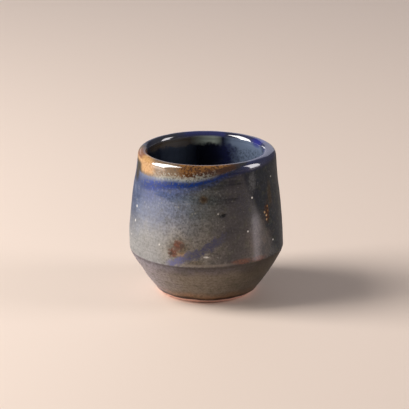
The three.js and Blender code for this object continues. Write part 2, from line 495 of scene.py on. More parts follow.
def make_rim_coat():
    lap = wall.inside_at(CLAY_HEIGHT - LIP_LAP)
    top = wall.lengths[wall.top]

    def start_of(angle):
        edge = dip_height(RIM_DIP, angle, KEEL_RADIUS) + ragged(angle, DIP_LINE_WAVE_SIZE, DIP_LINE_WAVE)
        return wall.outside_at(min(max(edge, KEEL_LINE), CLAY_HEIGHT - LIP_FILLET))

    def end_of(angle):
        return lap

    def face_of(angle, length, start, end):
        edge = BASE_FACE - EDGE_SINK - RIM_EDGE_SINK
        feather_length = min(DIP_FEATHER, DIP_FEATHER_SHARE * (top - start))
        depth = (RIM_FACE - edge) * (1 - SHORT_RIM_LOSS * rim_shortness(angle))
        outside = edge + depth * smooth_step(length - start, 0, feather_length)
        inside = smooth_step(length, top - LIP_ROLL_OUTSIDE, top + LIP_ROLL_INSIDE)
        face = outside + (LIP_INSIDE_FACE - outside) * inside
        inner_edge = LINER_FACE - EDGE_SINK
        return inner_edge + (face - inner_edge) * smooth_step(end - length, 0, LAP_FEATHER)

    def back_of(angle, point):
        over_base = smooth_step(dip_height(BASE_DIP, angle, point.x) - point.y, -BASE_TAPER, 0)
        return FUSE_GAP + BASE_FACE * over_base

    coat = coat_blank("rim_glaze_coat", wall.outside_at(KEEL_LINE), lap, on_axis=False)
    lay_on_wall(coat, start_of, end_of, face_of, back_of)
    return coat


def make_liner_coat():
    lap = wall.inside_at(CLAY_HEIGHT - LIP_LAP) - LINER_TUCK

    def start_of(angle):
        return lap

    def end_of(angle):
        return wall.end()

    def face_of(angle, length, start, end):
        return rolled(length - start) * LINER_FACE

    coat = coat_blank("liner_glaze_coat", lap, wall.end(), on_axis=True)
    lay_on_wall(coat, start_of, end_of, face_of, on_clay)
    return coat


# Shader helpers

def glaze(red, green, blue):
    """A colour written as it looks on a screen, from 0 to 255, in Blender's linear units."""
    def linear(value):
        share = value / 255
        return share / 12.92 if share <= 0.04045 else ((share + 0.055) / 1.055) ** 2.4
    return (linear(red), linear(green), linear(blue), 1.0)


def feed(tree, node, inputs):
    """Gives a node its inputs: each is a plain value or another node's socket."""
    for name, value in inputs.items():
        if isinstance(value, bpy.types.NodeSocket):
            tree.links.new(value, node.inputs[name])
        else:
            node.inputs[name].default_value = value


def add(tree, kind, inputs=None, **settings):
    node = tree.nodes.new(kind)
    for name, value in settings.items():
        setattr(node, name, value)
    feed(tree, node, inputs or {})
    return node


def calc(tree, operation, first, second=0.0):
    return add(tree, "ShaderNodeMath", {0: first, 1: second}, operation=operation).outputs[0]


def times(tree, first, *others):
    for other in others:
        first = calc(tree, "MULTIPLY", first, other)
    return first


def mask(tree, value, low, high):
    """0 on the side of low and 1 on the side of high, eased between them."""
    inputs = {"Value": value, "From Min": low, "From Max": high, "To Min": 0.0, "To Max": 1.0}
    if low > high:
        inputs.update({"From Min": high, "From Max": low, "To Min": 1.0, "To Max": 0.0})
    return add(tree, "ShaderNodeMapRange", inputs, interpolation_type="SMOOTHSTEP").outputs["Result"]


def band(tree, value, low, rise, fall, high):
    """1 from rise to fall, eased to 0 at low and at high."""
    return times(tree, mask(tree, value, low, rise), mask(tree, value, high, fall))


def blend(tree, share, under, over):
    """Mixes two colours. The node has sockets of the same name for other kinds, so these go by number."""
    return add(tree, "ShaderNodeMix", {0: share, 6: under, 7: over}, data_type="RGBA").outputs[2]


def zone(tree, value, span):
    """A pair of numbers runs from none to full; four of them rise and fall again."""
    return mask(tree, value, *span) if len(span) == 2 else band(tree, value, *span)


def centred(tree, share):
    """A noise between 0 and 1 as a push to either side."""
    return calc(tree, "SUBTRACT", share, 0.5)


def pushed(tree, value, push, reach):
    return calc(tree, "ADD", value, times(tree, push, reach))


def climb_past(tree, value, start, slope):
    """A slope that begins where a value passes its start."""
    return times(tree, calc(tree, "MAXIMUM", calc(tree, "SUBTRACT", value, start), 0.0), slope)


def all_but(tree, share, weight):
    """1, less a share at a weight."""
    return calc(tree, "SUBTRACT", 1.0, times(tree, share, weight))


def ramp_values(tree, value, low, high, at_low, at_high):
    """A plain number that changes evenly from one end of a value to the other."""
    inputs = {"Value": value, "From Min": low, "From Max": high, "To Min": at_low, "To Max": at_high}
    return add(tree, "ShaderNodeMapRange", inputs).outputs["Result"]


def ramp(tree, value, stops):
    """Colours along a value, as pairs of the value and its colour."""
    low, high = stops[0][0], stops[-1][0]
    share = add(tree, "ShaderNodeMapRange", {"Value": value, "From Min": low, "From Max": high})
    node = add(tree, "ShaderNodeValToRGB", {"Fac": share.outputs["Result"]})
    elements = node.color_ramp.elements
    elements[0].color = stops[0][1]
    elements[-1].color = stops[-1][1]
    for position, colour in stops[1:-1]:
        elements.new((position - low) / (high - low)).color = colour
    return node.outputs["Color"]


def fractal(tree, vector, scale, detail=3.0, roughness=0.55):
    inputs = {"Vector": vector, "Scale": scale, "Detail": detail, "Roughness": roughness}
    return add(tree, "ShaderNodeTexNoise", inputs).outputs["Fac"]


def scaled(tree, vector, factors):
    return add(tree, "ShaderNodeMapping", {"Vector": vector, "Scale": factors}).outputs["Vector"]


VALUE = "NodeSocketFloat"
VECTOR = "NodeSocketVector"
SOCKET_KINDS = {"VALUE": VALUE, "VECTOR": VECTOR, "RGBA": "NodeSocketColor"}


def new_group(name, inputs=()):
    """An empty node group, and the sockets that its inputs come in by."""
    group = bpy.data.node_groups.new(name, "ShaderNodeTree")
    for socket, kind in inputs:
        group.interface.new_socket(socket, in_out="INPUT", socket_type=kind)
    return group, group.nodes.new("NodeGroupInput").outputs


def close_group(group, values):
    """Passes each value out of its group, by a socket of the value's own kind."""
    for name, value in values.items():
        group.interface.new_socket(name, in_out="OUTPUT", socket_type=SOCKET_KINDS[value.type])
    leave = group.nodes.new("NodeGroupOutput").inputs
    for name, value in values.items():
        group.links.new(value, leave[name])
    return group


def place_group(tree, group, inputs=None):
    return add(tree, "ShaderNodeGroup", inputs, node_tree=group).outputs


def length_of(tree, vector):
    return add(tree, "ShaderNodeVectorMath", {0: vector}, operation="LENGTH").outputs["Value"]


# Dots in the glaze: the distance over which one ends, and the shares that are dark pepper and pale salt
DOT_EDGE = (0.45, 0.15)
PEPPER_DOTS = (0.58, 0.70)
SALT_DOTS = (0.12, 0.06)

# Shares of a spot's radius between which it fades
SPOT_EDGE = (1.0, 0.3)


def millimetre_group():
    """Object coordinates in millimetres: whole, by axis, and as the distance from the cup's axis."""
    group, _ = new_group("Millimetres")
    coordinates = add(group, "ShaderNodeTexCoord").outputs["Object"]
    place = scaled(group, coordinates, (1 / MM, 1 / MM, 1 / MM))
    axes = add(group, "ShaderNodeSeparateXYZ", {0: place}).outputs
    radius = length_of(group, scaled(group, place, (1, 1, 0)))
    values = {"Place": place, "X": axes["X"], "Y": axes["Y"], "Z": axes["Z"], "Radius": radius}
    return close_group(group, values)


def dip_group():
    """Height above a slanted dip line in millimetres, with the line wandering and running a little."""
    inputs = [("Level", VALUE), ("Rise X", VALUE), ("Rise Y", VALUE), ("Wander", VALUE)]
    group, entry = new_group("Height Above Dip", inputs)
    here = place_group(group, millimetres)
    across = times(group, here["X"], entry["Rise X"])
    along = times(group, here["Y"], entry["Rise Y"])
    line = calc(group, "ADD", calc(group, "ADD", across, along), entry["Level"])
    runs = fractal(group, scaled(group, here["Place"], (1, 1, 0.25)), scale=0.45, detail=4.0)
    height = pushed(group, calc(group, "SUBTRACT", here["Z"], line), centred(group, runs), entry["Wander"])
    return close_group(group, {"Height": height})


def mottle_group():
    """The broken surface of a reactive glaze: slow clouds, fine grain, dark pepper and pale salt."""
    group, _ = new_group("Glaze Mottle")
    place = place_group(group, millimetres)["Place"]
    cloud = fractal(group, place, scale=0.16, detail=4.0, roughness=0.6)
    grain = fractal(group, place, scale=1.05, detail=3.0, roughness=0.65)
    dots = add(group, "ShaderNodeTexVoronoi", {"Vector": place, "Scale": 0.85}).outputs
    lone = add(group, "ShaderNodeSeparateColor", {0: dots["Color"]}).outputs
    round_dot = mask(group, dots["Distance"], *DOT_EDGE)
    pepper = times(group, round_dot, mask(group, lone["Red"], *PEPPER_DOTS))
    salt = times(group, round_dot, mask(group, lone["Red"], *SALT_DOTS))
    return close_group(group, {"Cloud": cloud, "Grain": grain, "Pepper": pepper, "Salt": salt})


def turning_group():
    """Fine lines round the axis, as a tool leaves them, drifting a little in height."""
    group, entry = new_group("Turning Lines", [("Lines per mm", VALUE)])
    here = place_group(group, millimetres)
    drifting = pushed(group, here["Z"], fractal(group, here["Place"], scale=0.05, detail=1.0), reach=1.5)
    inputs = {"W": times(group, drifting, entry["Lines per mm"]), "Scale": 1.0, "Detail": 2.0}
    lines = add(group, "ShaderNodeTexNoise", inputs, noise_dimensions="1D").outputs["Fac"]
    return close_group(group, {"Lines": lines})


def spot_group():
    """A ragged spot at a place on the glaze, drawn out or pressed together by its squeeze on each axis."""
    inputs = [("Centre", VECTOR), ("Radius", VALUE), ("Ragged", VALUE), ("Squeeze", VECTOR)]
    group, entry = new_group("Glaze Spot", inputs)
    place = place_group(group, millimetres)["Place"]
    away = add(group, "ShaderNodeVectorMath", {0: place, 1: entry["Centre"]}, operation="SUBTRACT")
    inputs = {0: away.outputs[0], 1: entry["Squeeze"]}
    drawn = add(group, "ShaderNodeVectorMath", inputs, operation="MULTIPLY")
    gap = length_of(group, drawn.outputs[0])
    frayed = pushed(group, gap, centred(group, fractal(group, place, scale=0.9)), entry["Ragged"])
    reach = calc(group, "DIVIDE", frayed, entry["Radius"])
    return close_group(group, {"Spot": mask(group, reach, *SPOT_EDGE)})


millimetres = millimetre_group()
height_above_dip = dip_group()
glaze_mottle = mottle_group()
turning_lines = turning_group()
glaze_spot = spot_group()


# Glaze colours, as they look in even light; a few are laid as painted light or shade, as said where they are
# laid

BLUE_SHADE = glaze(46, 62, 96)
SMOKE_BLUE = glaze(103, 115, 143)
STONE_BLUE = glaze(94, 104, 116)
LICHEN_GREY = glaze(82, 87, 88)
UMBER = glaze(48, 47, 57)
DUSK = glaze(40, 42, 52)
MOSS_BLACK = glaze(40, 45, 52)
OAT_GREY = glaze(148, 148, 148)
SAND_GREY = glaze(156, 152, 146)
TAUPE = glaze(120, 114, 107)
MUD = glaze(62, 57, 60)
FAWN_GREY = glaze(86, 76, 70)
MOSS = glaze(72, 74, 56)
PEPPER = glaze(30, 30, 28)
SALT = glaze(170, 170, 164)
# White of the painted glints
GLINT_WHITE = glaze(226, 224, 220)
COBALT = glaze(20, 51, 120)
LIGHT_COBALT = glaze(44, 66, 138)
DEEP_COBALT = glaze(28, 35, 108)
BRIGHT_COBALT = glaze(18, 24, 132)
STREAK_BLUE = glaze(90, 92, 140)
INDIGO = glaze(40, 44, 84)
NAVY = glaze(26, 28, 50)
AMBER = glaze(132, 88, 36)
BURNT_AMBER = glaze(72, 39, 12)
GOLD = glaze(186, 130, 58)
PALE_GOLD = glaze(226, 184, 134)
HONEY = glaze(192, 150, 102)
ROSE_BROWN = glaze(122, 81, 66)
CREAM = glaze(164, 168, 160)
OLIVE = glaze(48, 44, 34)
OLIVE_GOLD = glaze(88, 66, 26)
RUST = glaze(112, 60, 38)
IRON_BROWN = glaze(62, 40, 28)
TAN = glaze(134, 120, 102)
CONE_BROWN = glaze(130, 120, 108)
CONE_MAUVE = glaze(104, 97, 102)
# Laid on the left of the cone as painted light
CONE_LILAC = glaze(161, 155, 167)
CONE_CHESTNUT = glaze(150, 116, 88)
CONE_SHADE = glaze(54, 46, 34)
ARRIS_GREY = glaze(146, 134, 124)
MOSS_GREEN = glaze(200, 210, 195)
OLIVE_BROWN = glaze(96, 82, 60)
NIGHT_BLUE = glaze(22, 24, 36)
SLATE_BLUE = glaze(114, 128, 152)
BARE_CLAY = glaze(236, 191, 174)
BURNT_CLAY = glaze(198, 149, 135)
FLOOR_TONE = glaze(242, 224, 210)

# Finish of the glazes, the clay and the floor
GLASS = {"IOR": 1.5, "Specular IOR Level": 0.08, "Coat IOR": 2.15}
GLAZE_RELIEF = 0.03 * MM
GLAZE_LINES_PER_MM = 0.7
GLOSSY_ROUGHNESS = 0.15
GRAIN_ROUGHNESS = 0.15
SATIN_ROUGHNESS = 0.25
CONE_GLOSS = 0.12
WALL_GLOSS = 0.36
COBALT_GLOSS_LOSS = 0.8
LIP_GLOSS_LOSS = 0.85
LINER_ROUGHNESS = 0.1
LINER_GRAIN_ROUGHNESS = 0.12
LINER_GLOSS = 0.8
LINER_CLOUD_GLOSS = 0.2
CLAY_RELIEF = 0.08 * MM
CLAY_BUMP = 0.6
CLAY_LINES_PER_MM = 1.6
CLAY_ROUGHNESS = 0.85
CLAY_GRIT = (0.4, 0.7)
CLAY_GRIT_WEIGHT = 0.6
FLOOR_ROUGHNESS = 0.7

# Spots and runs, among them a painted glint and a painted reflection: centre in millimetres, radius,
# raggedness, squeeze by axis, tone and weight
ROUND = (1, 1, 1)
TALL = (1, 1, 0.3)
SPOTS_AND_PAINTED_GLINTS = [
    ((-1.2, -30.3, 49.2), 2.8, 1.6, ROUND, OLIVE_GOLD, 0.75),
    ((-1.2, -30.3, 49.1), 1.4, 1.0, ROUND, IRON_BROWN, 0.9),
    ((6.6, -30.5, 42.8), 1.6, 0.5, ROUND, PEPPER, 1.0),
    ((-11.5, -30.6, 27.8), 7.0, 6.0, ROUND, OLIVE_BROWN, 0.7),
    ((-9.6, -31.0, 27.8), 2.3, 2.4, ROUND, OLIVE_GOLD, 0.55),
    ((-10.6, -30.8, 25.4), 2.2, 2.4, (0.7, 0.7, 1.3), HONEY, 0.45),
    ((-11.8, -30.4, 29.3), 3.0, 3.6, ROUND, RUST, 1.0),
    ((-10.4, -30.8, 29.1), 1.6, 2.4, ROUND, IRON_BROWN, 0.9),
    ((-14.0, -29.6, 25.9), 2.8, 3.6, ROUND, RUST, 1.0),
    ((-14.8, -29.2, 25.6), 1.3, 2.2, ROUND, IRON_BROWN, 0.9),
    ((-4.5, -32.4, 22.0), 2.6, 3.0, (0.5, 0.5, 1.6), OLIVE_BROWN, 0.7),
    ((15.0, -29.4, 21.8), 3.4, 2.0, (0.5, 0.5, 2), RUST, 0.9),
    ((22.0, -24.5, 21.6), 3.4, 2.0, (0.6, 0.6, 2), RUST, 0.6),
    ((14.6, -27.4, 47.0), 4.5, 4.0, (1, 1, 0.6), NAVY, 0.6),
    # Painted reflection: a faint pale patch on the shoulder under the lip at the right
    ((18.6, -23.0, 54.5), 2.8, 2.0, (1, 1, 0.45), OAT_GREY, 0.3),
    ((26.3, -15.6, 47.2), 2.4, 4.0, TALL, OLIVE_GOLD, 0.4),
    ((25.4, -18.6, 40.2), 2.0, 3.0, TALL, BURNT_AMBER, 0.85),
    ((25.5, -18.1, 42.6), 0.6, 0.6, ROUND, GOLD, 0.6),
    ((25.7, -18.2, 40.7), 0.6, 0.6, ROUND, GOLD, 0.5),
    ((24.3, -20.0, 40.5), 0.7, 0.6, ROUND, PALE_GOLD, 0.9),
    ((25.0, -19.3, 38.9), 0.7, 0.6, ROUND, PALE_GOLD, 1.0),
    ((25.2, -19.4, 37.1), 0.7, 0.6, ROUND, PALE_GOLD, 0.9),
    # Painted glint: a white dash low on the front of the wall
    ((-0.1, -32.8, 24.8), 0.8, 0.2, (0.5, 0.5, 1.5), GLINT_WHITE, 1.0),
]
OLIVE_RUN = ((-29.4, -6.5, 54.6), 4.6, 2.4, (1, 1, 0.8), OLIVE, 0.95)
COBALT_RUN = ((23.2, 12.6, 62.2), 6.2, 2.0, (1, 1, 1.5), BRIGHT_COBALT, 0.9)

# Painted glints: white dots on bubbles and pinholes where they catch the light, centre and radius in
# millimetres
PAINTED_GLINTS = [
    ((4.7, -30.9, 43.1), 0.6), ((18.8, -24.1, 48.1), 0.6), ((17.2, -27.1, 34.3), 0.6),
    ((26.5, -13.2, 54.2), 0.6), ((28.1, -16.7, 27.4), 0.6), ((-19.5, -26.1, 28.3), 0.7),
    ((-28.9, -12.4, 40.9), 0.9), ((-29.6, -12.3, 34.6), 0.9), ((-31.3, -9.2, 27.6), 0.8),
    ((23.8, -15.9, 60.5), 0.6), ((-17.6, -23.3, 57.5), 0.5),
]
GLINT_SPOTS = [(centre, radius, 0.2, ROUND, GLINT_WHITE, 1.0) for centre, radius in PAINTED_GLINTS]

# Tones from left to right, in millimetres from the axis
# The blue shade at the far left end of the high wall is painted shade along the wall's left edge
HIGH_WALL_TONES = [
    (-31.5, BLUE_SHADE), (-27, SMOKE_BLUE), (-15, SMOKE_BLUE), (-6, STONE_BLUE), (1, LICHEN_GREY),
    (9, UMBER), (18, DUSK), (25, MOSS_BLACK),
]
LOW_WALL_TONES = [
    (-31, OAT_GREY), (-22, OAT_GREY), (-15, SAND_GREY), (-7, TAUPE), (1, TAUPE), (9, MUD), (14, MUD),
    (19, FAWN_GREY), (23, FAWN_GREY), (28, MOSS_BLACK),
]
COBALT_TONES = [(-30, BLUE_SHADE), (-23, LIGHT_COBALT), (-9, COBALT)]
LIP_TONES = [(-28, DUSK), (-14, DUSK), (-8, INDIGO), (6, INDIGO), (10, NAVY), (17, INDIGO)]
LIP_INSIDE_TONES = [
    (-28, NIGHT_BLUE), (-17, OLIVE_BROWN), (-7, OLIVE_BROWN), (-1, MOSS_GREEN), (3, MOSS_GREEN),
    (7, NAVY), (11, SLATE_BLUE), (23, SLATE_BLUE), (27, INDIGO),
]
# Painted light and shade: the liner runs from night blue on the left, where the lip shades the inside, to
# slate on the right, where the key lamp reaches
LINER_TONES = [
    (-26, NIGHT_BLUE), (-3, NIGHT_BLUE), (4, NAVY), (9, INDIGO), (15, SLATE_BLUE), (26, SLATE_BLUE),
]

# Tones from the floor up to the keel, in millimetres
# The darker mauve just under the keel is painted shade
CONE_TONES = [
    (1, IRON_BROWN), (2.6, IRON_BROWN), (3.6, CONE_CHESTNUT), (6.5, CONE_BROWN), (15, CONE_BROWN),
    (18.5, CONE_MAUVE), (21, CONE_MAUVE),
]

# Lines that the colours follow, as planes in millimetres with a wander
STREAK_LINE = {"Level": 39.9, "Rise X": RIM_DIP[1], "Rise Y": RIM_DIP[2], "Wander": 2.6}
FRINGE_LINE = {"Level": 62.2, "Rise X": 0.194, "Rise Y": 0.126, "Wander": 0.9}
FRINGE_LIFT = 0.8
THIN_SLANT = 0.4

# Where the fringe and the blue of the lip begin to climb, in millimetres, and how steeply
FRINGE_CLIMB = (-8.0, 0.35)
LIP_BLUE_CLIMB = (14.0, 0.14)

# Measures that the clouds push about: the plain measure, and how far in millimetres
OUTSIDE_PUSHES = {
    "drift": ("across", 14.0), "left": ("across", 8.0), "level": ("up", 16.0), "foot": ("up", 5.0),
}
LINER_PUSHES = {"drift": ("across", 10.0), "run": ("up", 6.0)}

# How far noise pushes the edges of the streak, the thin glaze and the cobalt, in millimetres
STREAK_PUSH = 5.0
THIN_PUSH = 24.0
EDGE_FRAY = 3.0

# Zones of glaze: the span of each measure, in millimetres or as a share of a noise
PALE_SIDE = {"across": (-8.0, -24.0)}
PALE_SIDE_CALM = 0.65
DARK_SIDE = {"across": (2.0, 14.0)}
DARK_SIDE_LOSS = 0.75
LOW_WALL = {"level": (46.0, 27.0)}
STREAK = {
    "streak": (-3.2, -1.6, 0.6, 2.0), "across": (-18.0, -14.5, 3.5, 11.0), "along": (-8.0, -22.0),
    "grain": (0.75, 0.4),
}
CONE = {"keel": (20.5, 20.0)}
LIFTED_FRINGE = {"across": (-27.0, -18.0, -14.0, -5.0)}
COBALT_STRETCH = {"low": -26.0, "high": 8.0, "at_low": 1.6, "at_high": 0.4}
COBALT_BAND = {"cobalt": None, "across": (-35.0, -24.0), "grain": (0.8, 0.45)}
LIP_BLUE = {"lip": (57.5, 60.5), "above": (0.5, -1.0)}
AMBER_RIM = {"above": (-0.5, 0.5), "drift": (15.0, 10.0)}
# Partly the glaze's own tone and partly painted light: the amber is paler honey at the left of the lip, where
# the key lamp strikes it
HONEY_SIDE = {"above": (0.2, 1.6), "across": (-30.5, -27.5, -23.5, -20.5)}
CREAM_FRONT = {"across": (-25.0, -17.0, -2.0, 7.0)}
LIP_INSIDE = {"radius": (27.0, 26.0), "along": (0.0, 10.0), "up": (40.0, 45.0, 60.4, 61.6)}
THIN_RIGHT_BACK = {"along": (-9.0, 3.0)}
GLOSSY_WALL = {"keel": (20.0, 21.5)}
GLASSY_LIP = {"lip": (58.6, 60.2)}
DULL_LIP = {"across": (-22.0, -25.0)}
LINER_RUN = {"run": (56.5, 58.5), "along": (0.0, 10.0)}

# Pairs of zones that overlap, each with its weight
COBALT_ZONES = [(1.0, {"below": (-5.0, -3.0, -2.2, 0.4)}), (0.5, {"below": (-8.5, -4.5, -3.0, -1.0)})]
OLIVE_ZONES = [(1.0, {"up": (60.5, 58.5), "across": (-26.5, -28.0)}), (0.8, {"along": (-3.0, 3.0)})]
CREAM_ZONES = [
    (0.8, {**CREAM_FRONT, "above": (-1.9, 0.0, 0.3, 1.4), "grain": (0.70, 0.40)}),
    (0.8, {**CREAM_FRONT, "above": (0.0, 0.5, 1.8, 3.0), "grain": (0.48, 0.38)}),
]
THIN_ZONES = [(1.0, {"slant": (36.6, 39.4)}), (1.0, {"across": (-25.0, -29.5)})]

# Layers of glaze, from the first to the last: tone, weight and zone
STREAK_DARK_END = (INDIGO, 1.0, {"across": (-13.0, -5.0)})
KEEL_ARRIS = (ARRIS_GREY, 0.5, {"keel": (20.2, 20.8, 21.2, 21.9), "across": (-16.0, -8.0, 6.0, 16.0)})
COBALT_DARK_GRAIN = (NAVY, 0.6, {"grain": (0.42, 0.62)})
FAR_LIP = (DEEP_COBALT, 0.5, {**LIP_BLUE, "along": (12.0, 22.0), "drift": (-14.0, -7.0, 7.0, 12.0)})
HONEY_DARK_GRAIN = (AMBER, 0.5, {"grain": (0.45, 0.65)})
ROSE_LIP = (
    ROSE_BROWN, 0.85, {"up": (60.2, 61.4), "across": (-20.0, -25.0), "along": (-12.0, -8.0, -2.0, 3.0)},
)
WALL_LAYERS = [
    # Painted shade: the far left edge of the wall is darkened to slate from mid height up
    (BLUE_SHADE, 0.6, {"left": (-27.5, -32.5), "level": (24.0, 38.0)}),
    (MOSS, 0.45, {"tint": (0.52, 0.68), "broken": None}),
]
SPECKLE_LAYERS = [
    (PEPPER, 0.5, {"grain": (0.45, 0.62), "broken": None}),
    (SALT, 0.25, {"grain": (0.44, 0.30), "lit": None}),
    (PEPPER, 0.12, {"lines": (0.35, 0.7)}),
    (PEPPER, 0.5, {"pepper": None, "broken": None}),
    (SALT, 0.4, {"salt": None, "lit": None}),
]
CONE_LAYERS = [
    # Painted light and sheen: the cone turns paler lilac towards the left, the side the key lamp faces
    (CONE_LILAC, 0.7, {"drift": (-8.0, -26.0)}),
    (CONE_SHADE, 0.82, {"drift": (-4.0, 26.0)}),
    (MOSS, 0.3, {"tint": (0.5, 0.7)}),
    (CONE_SHADE, 0.4, {"grain": (0.4, 0.66)}),
    (CONE_SHADE, 0.2, {"lines": (0.4, 0.7)}),
    # Painted shade in the groove just under the keel
    (CONE_SHADE, 0.45, {"keel": (18.9, 19.5, 19.9, 20.4)}),
    (IRON_BROWN, 0.6, {"up": (3.4, 2.6)}),
]
AMBER_LAYERS = [
    (BURNT_AMBER, 1.0, {"grain": (0.40, 0.62)}),
    (TAN, 0.6, {"drift": (-8.0, -15.0)}),
    (BURNT_AMBER, 1.0, {"above": (-0.5, 0.4, 1.6, 2.6), "drift": (-12.0, -2.0)}),
    (GOLD, 0.4, {"up": (62.1, 62.6), "across": (-14.0, -8.0, 6.0, 12.0), "grain": (0.66, 0.42)}),
]
LINER_LAYERS = [
    (NIGHT_BLUE, 0.45, {"grain": (0.42, 0.66)}),
    (PEPPER, 0.5, {"pepper": None}),
]


class GlazeField:
    """Measures over the surface of a glaze, and the laying of tones by them."""

    def __init__(self, group, pushes):
        here = place_group(group, millimetres)
        mottle = place_group(group, glaze_mottle)
        self.group = group
        self.place = here["Place"]
        self.cloud = centred(group, mottle["Cloud"])
        self.measures = {
            "across": here["X"], "along": here["Y"], "up": here["Z"], "radius": here["Radius"],
            "cloud": mottle["Cloud"], "grain": mottle["Grain"],
            "pepper": mottle["Pepper"], "salt": mottle["Salt"],
        }
        for name, (plain, reach) in pushes.items():
            self.measures[name] = pushed(group, self.measures[plain], self.cloud, reach)

    def where(self, zones):
        """1 where every measure lies in its span; where the span is None the measure is taken as it is."""
        masks = []
        for name, span in zones.items():
            measure = self.measures[name]
            masks.append(measure if span is None else zone(self.group, measure, span))
        return times(self.group, *masks)

    def either(self, pair):
        """The greater of two zones, each at its weight."""
        first, second = [times(self.group, self.where(zones), weight) for weight, zones in pair]
        return calc(self.group, "MAXIMUM", first, second)

    def lay(self, colour, tone, weight, zones):
        return blend(self.group, times(self.group, self.where(zones), weight), colour, tone)

    def lay_all(self, colour, layers):
        for tone, weight, zones in layers:
            colour = self.lay(colour, tone, weight, zones)
        return colour

    def lay_spots(self, colour, spots):
        for centre, radius, ragged_by, squeeze, tone, weight in spots:
            inputs = {"Centre": centre, "Radius": radius, "Ragged": ragged_by, "Squeeze": squeeze}
            spot = place_group(self.group, glaze_spot, inputs)["Spot"]
            colour = blend(self.group, times(self.group, spot, weight), colour, tone)
        return colour

    def tones(self, name, stops):
        return ramp(self.group, self.measures[name], stops)


class OutsideField(GlazeField):
    """The measures of the outside, which follow the dip lines, the keel and the lip."""

    def __init__(self, group):
        super().__init__(group, OUTSIDE_PUSHES)
        measures = self.measures
        measures["tint"] = fractal(group, self.place, scale=0.38, detail=3.0, roughness=0.6)
        measures["lines"] = place_group(group, turning_lines, {"Lines per mm": GLAZE_LINES_PER_MM})["Lines"]
        measures["broken"] = all_but(group, self.where(PALE_SIDE), PALE_SIDE_CALM)
        measures["lit"] = all_but(group, self.where(DARK_SIDE), DARK_SIDE_LOSS)
        tilt = times(group, measures["across"], KEEL_TILT)
        measures["keel"] = calc(group, "SUBTRACT", measures["up"], tilt)
        climb = climb_past(group, measures["across"], *LIP_BLUE_CLIMB)
        measures["lip"] = calc(group, "SUBTRACT", measures["up"], climb)
        self.frayed = times(group, centred(group, measures["grain"]), EDGE_FRAY)
        measures["streak"] = self.height_above_streak()
        measures["above"] = self.height_above_fringe()
        measures["below"] = self.depth_below_fringe()
        measures["cobalt"] = self.either(COBALT_ZONES)
        measures["slant"] = self.thin_slant()

    def height_above_streak(self):
        """The streak frays in its grain and sways with the tint."""
        height = place_group(self.group, height_above_dip, STREAK_LINE)["Height"]
        edge = calc(self.group, "ADD", height, self.frayed)
        return pushed(self.group, edge, centred(self.group, self.measures["tint"]), STREAK_PUSH)

    def height_above_fringe(self):
        """The fringe below the amber slants, climbs towards the back and is lifted a little at the left."""
        group = self.group
        slanted = place_group(group, height_above_dip, FRINGE_LINE)["Height"]
        climb = climb_past(group, self.measures["along"], *FRINGE_CLIMB)
        lift = times(group, self.where(LIFTED_FRINGE), FRINGE_LIFT)
        return calc(group, "SUBTRACT", slanted, calc(group, "ADD", climb, lift))

    def depth_below_fringe(self):
        """The height above the fringe, drawn out at the left, where the cobalt is deeper."""
        group = self.group
        stretch = ramp_values(group, self.measures["across"], **COBALT_STRETCH)
        return calc(group, "ADD", calc(group, "DIVIDE", self.measures["above"], stretch), self.frayed)

    def thin_slant(self):
        """The glaze is thin past a slanted line at the right, which breaks up towards the back."""
        group = self.group
        slant = pushed(group, self.measures["across"], self.measures["up"], THIN_SLANT)
        return pushed(group, slant, times(group, self.cloud, self.where(THIN_RIGHT_BACK)), THIN_PUSH)


def lip_inside_group():
    """Colours round the inner side of the lip, where the rim glaze has run down over the liner."""
    group, _ = new_group("Lip Inside")
    across = place_group(group, millimetres)["X"]
    return close_group(group, {"Colour": ramp(group, across, LIP_INSIDE_TONES)})


def wall_colour(field):
    """Blue-grey at the left with painted shade along its far edge, lichen grey in front and near black at the
    right, paler low on the left.
    """
    high = field.tones("drift", HIGH_WALL_TONES)
    low = field.tones("drift", LOW_WALL_TONES)
    colour = blend(field.group, field.where(LOW_WALL), high, low)
    colour = field.lay_all(colour, WALL_LAYERS)
    colour = field.lay_spots(colour, SPOTS_AND_PAINTED_GLINTS)
    return field.lay_all(colour, SPECKLE_LAYERS)


def lay_streak(field, colour):
    """The lower edge of the rim glaze: a cobalt streak that fades to the right."""
    tone = field.lay(STREAK_BLUE, *STREAK_DARK_END)
    return field.lay(colour, tone, 0.95, STREAK)


# Painted highlights: the glints are laid into the colour as white dots
def lay_glints(field, colour):
    return field.lay_spots(colour, GLINT_SPOTS)


def lay_cone(field, colour):
    """A pale arris along the keel, and below it satin brown with a chestnut fringe at the foot, painted
    darker under the keel as shade and paler to the left as light.
    """
    colour = field.lay(colour, *KEEL_ARRIS)
    satin = field.lay_all(field.tones("foot", CONE_TONES), CONE_LAYERS)
    return field.lay(colour, satin, 1.0, CONE)


def lay_cobalt(field, colour):
    """The cobalt band below the fringe, darker in its grain."""
    tone = field.lay(field.tones("across", COBALT_TONES), *COBALT_DARK_GRAIN)
    return field.lay(colour, tone, 1.0, COBALT_BAND)


def lay_lip_blue(field, colour):
    """Blue over the lip where there is no amber, deepest at the back."""
    colour = field.lay(colour, field.tones("drift", LIP_TONES), 0.9, LIP_BLUE)
    return field.lay(colour, *FAR_LIP)


def amber_colour(field):
    """Amber burnt in its grain and edge, gold on its crest, and tan, honey, rose and olive at the left, the
    honey partly painted light.
    """
    amber = field.lay_all(AMBER, AMBER_LAYERS)
    # Honey: partly painted light on the side the key lamp faces
    honey = field.lay(HONEY, *HONEY_DARK_GRAIN)
    amber = field.lay(amber, honey, 1.0, HONEY_SIDE)
    amber = field.lay(amber, *ROSE_LIP)
    return blend(field.group, field.either(OLIVE_ZONES), amber, OLIVE)


